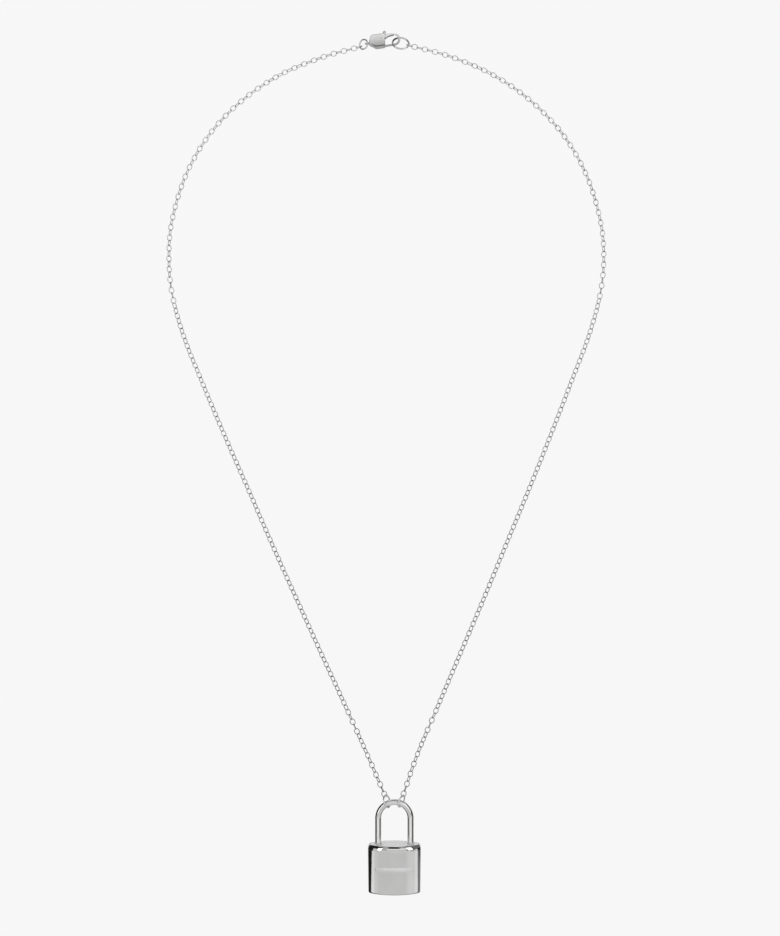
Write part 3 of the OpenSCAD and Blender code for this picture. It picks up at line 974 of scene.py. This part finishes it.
def cove_points(around=96):
    """A floor turned about the vertical, in metres: flat out to a radius, a quarter circle, then a straight
    wall."""
    bend = np.linspace(0, np.pi / 2, 16)
    curve = FLOOR_FLAT + COVE_RADIUS * np.sin(bend)
    radius = np.concatenate([[0, 0.3, 0.6], curve, [FLOOR_FLAT + COVE_RADIUS]])
    height = np.concatenate([[0, 0, 0], COVE_RADIUS * (1 - np.cos(bend)), [WALL_TOP]])
    a = np.linspace(0, 2 * np.pi, around, endpoint=False)
    return np.stack([radius[:, None] * np.cos(a), radius[:, None] * np.sin(a),
                     np.repeat(height[:, None] + FLOOR_Z, around, 1)], -1)


floor = make_mesh("floor", [shell(cove_points() / MM)])
paper = bpy.data.materials.new("paper")
paper.use_nodes = True
paper_shader = paper.node_tree.nodes["Principled BSDF"]
paper_shader.inputs["Base Color"].default_value = (0.02, 0.02, 0.02, 1)
paper_shader.inputs["Specular IOR Level"].default_value = 0
paper_shader.inputs["Roughness"].default_value = 1
paper_shader.inputs["Emission Color"].default_value = (PAPER, PAPER, PAPER, 1)
paper_shader.inputs["Emission Strength"].default_value = 1
floor.data.materials.append(paper)
floor.visible_glossy = False
floor.visible_shadow = False

# %% [markdown]
# ## The light tent
# A polished thing is lit by what stands round it. The world is that tent, as a function of the direction:
# its angle round the vertical, counted from the front, and its height above the horizon. Every card in the
# tent is a rectangle in these two angles with soft edges, laid over the ones before it. Pale cards in front
# make the grey faces, black flags at both sides draw the dark edges, and a black bar overhead draws the
# line under the top.

# %% Light tent
CARDS = [
    # round from, round to, up from, up to, brightness, softness round, softness up, lean of the sides
    (38, 90, -60, 45, 0.69, 8, 8, 0),
    (-90, -48, -60, 45, 0.66, 8, 8, 0),
    (62, 90, -70, 45, 0.8, 3, 8, 0),
    (-90, -60, -70, 45, 0.8, 3, 8, 0),
    (-100, 100, 42, 104, 0.5, 5, 5, 0),
    (-22, 100, 15, 42, 0.8, 4, 4, 0),
    (-100, -22, 6, 42, 0.45, 4, 5, 0),
    (140, 200, 8, 104, 0.85, 8, 4, 0),
    (-200, -140, 8, 104, 0.85, 8, 4, 0),
    (-22, 20, 37, 66, 0.012, 3, 3, 0),
    (-44, 42, 64, 80, 0.012, 5, 3, 0),
    (-200, 200, 79, 112, 0.012, 1, 2, 0),
    (-140, -44, 19, 65, 0.015, 4, 3, 0),
    (36, 60, -6, 62, 0.16, 3, 3, 0),
    (54, 160, 2, 104, 0.15, 5, 3, 0),
    (60, 160, 62, 104, 0.3, 6, 5, 0),
    (-200, 200, -100, -46, 0.5, 1, 8, 0),
    (71.5, 158, -72, 14, 0.012, 1, 3, -1.5),
    (70, 158, -72, -15.5, 0.2, 1, 0.3, -1.5),
    (-158, -66.5, -72, 22, 0.012, 1, 3, 3),
    (-46, 46, -14.4, -12.4, 0.88, 3, 0.1, 0),
    (46, 118, -14.4, -12.4, 0.13, 3, 0.1, 0),
    (-118, -46, -14.4, -12.4, 0.13, 3, 0.1, 0),
    (130, 200, -72, 14, 0.5, 12, 3, 0),
    (-200, -130, -72, 22, 0.5, 12, 3, 0),
]
LEAN_FROM, LEAN_REACH = -15.4, 1.5
FRONT = 0.6
print("light tent of", len(CARDS), "cards")

# %% [markdown]
# ## From the table to a world
# The table could be painted into a panorama picture, but a few shader nodes for each row give sharp and
# soft edges at any size. Each card's mask is worked out from the two angles, and it fades the picture so
# far towards its own brightness. Some upright edges lean near the height where the case's round top begins.

# %% World


def tent():
    """The world: starting from the front's brightness, each card's mask, the product of four smooth steps,
    blends towards the card's own brightness."""
    world = bpy.data.worlds.new("studio")
    bpy.context.scene.world = world
    world.use_nodes = True
    tree = world.node_tree
    nodes, links = tree.nodes, tree.links

    def product(a, b):
        return math_node(tree, "MULTIPLY", a, b)

    def step(source, low, high):
        return ramp_node(tree, source, low, high, "SMOOTHSTEP")

    where = nodes.new("ShaderNodeTexCoord")
    parts = nodes.new("ShaderNodeSeparateXYZ")
    links.new(where.outputs["Generated"], parts.inputs[0])
    x, y, z = parts.outputs
    round_about = math_node(tree, "DEGREES", math_node(tree, "ARCTAN2", x, product(y, -1)))
    height = math_node(tree, "DEGREES", math_node(tree, "ARCSINE", z))
    near_lean = math_node(tree, "MAXIMUM", math_node(tree, "SUBTRACT", height, LEAN_FROM), -LEAN_REACH)
    near_lean = math_node(tree, "MINIMUM", near_lean, LEAN_REACH)
    value = FRONT
    for from_a, to_a, from_h, to_h, brightness, soft_a, soft_h, lean in CARDS:
        mask = step(height, from_h - soft_h, from_h + soft_h)
        mask = product(mask, step(height, to_h + soft_h, to_h - soft_h))
        if to_a - from_a < 360:
            slanted = math_node(tree, "SUBTRACT", round_about, product(near_lean, lean))
            mask = product(mask, step(slanted, from_a - soft_a, from_a + soft_a))
            mask = product(mask, step(slanted, to_a + soft_a, to_a - soft_a))
        value = mix_node(tree, "Float", mask, value, brightness)
    links.new(value, nodes["Background"].inputs["Color"])
    print("world of", len(nodes), "nodes")


tent()

# %% [markdown]
# ## Two soft boxes
# The two white glints on the case's top edge are the mirror images of two lamps. They could be cards as
# well, but lamps also light the frosted clasp and the paper-white skin of the marks, which scatter instead
# of mirror.

# %% Soft boxes


def soft_box(name, round_about, height, wide, high, brightness, distance=1.4):
    """A rectangular lamp seen from the padlock at two angles in degrees, as wide and high as two more, that
    faces it. Its power is its brightness times its area times pi."""
    data = bpy.data.lights.new(name, "AREA")
    data.shape = "RECTANGLE"
    data.size = 2 * distance * math.tan(math.radians(wide / 2))
    data.size_y = 2 * distance * math.tan(math.radians(high / 2))
    data.energy = brightness * math.pi * data.size * data.size_y
    obj = bpy.data.objects.new(name, data)
    bpy.context.scene.collection.objects.link(obj)
    a, h = math.radians(round_about), math.radians(height)
    away = np.array([math.cos(h) * math.sin(a), -math.cos(h) * math.cos(a), math.sin(h)])
    side = unit(np.cross([0, 0, 1], away))
    at = np.array([LOCK_X, 0, CASE_TOP]) * MM + distance * away
    basis = np.stack([side, np.cross(away, side), away], 1)
    obj.matrix_world = Matrix([[*basis[0], at[0]], [*basis[1], at[1]], [*basis[2], at[2]], [0, 0, 0, 1]])
    print(name, round(data.energy, 1), "W")


soft_box("left_box", -43, 17, 11, 34, 1.9)
soft_box("right_box", 46.6, 24, 14, 44, 1.9)
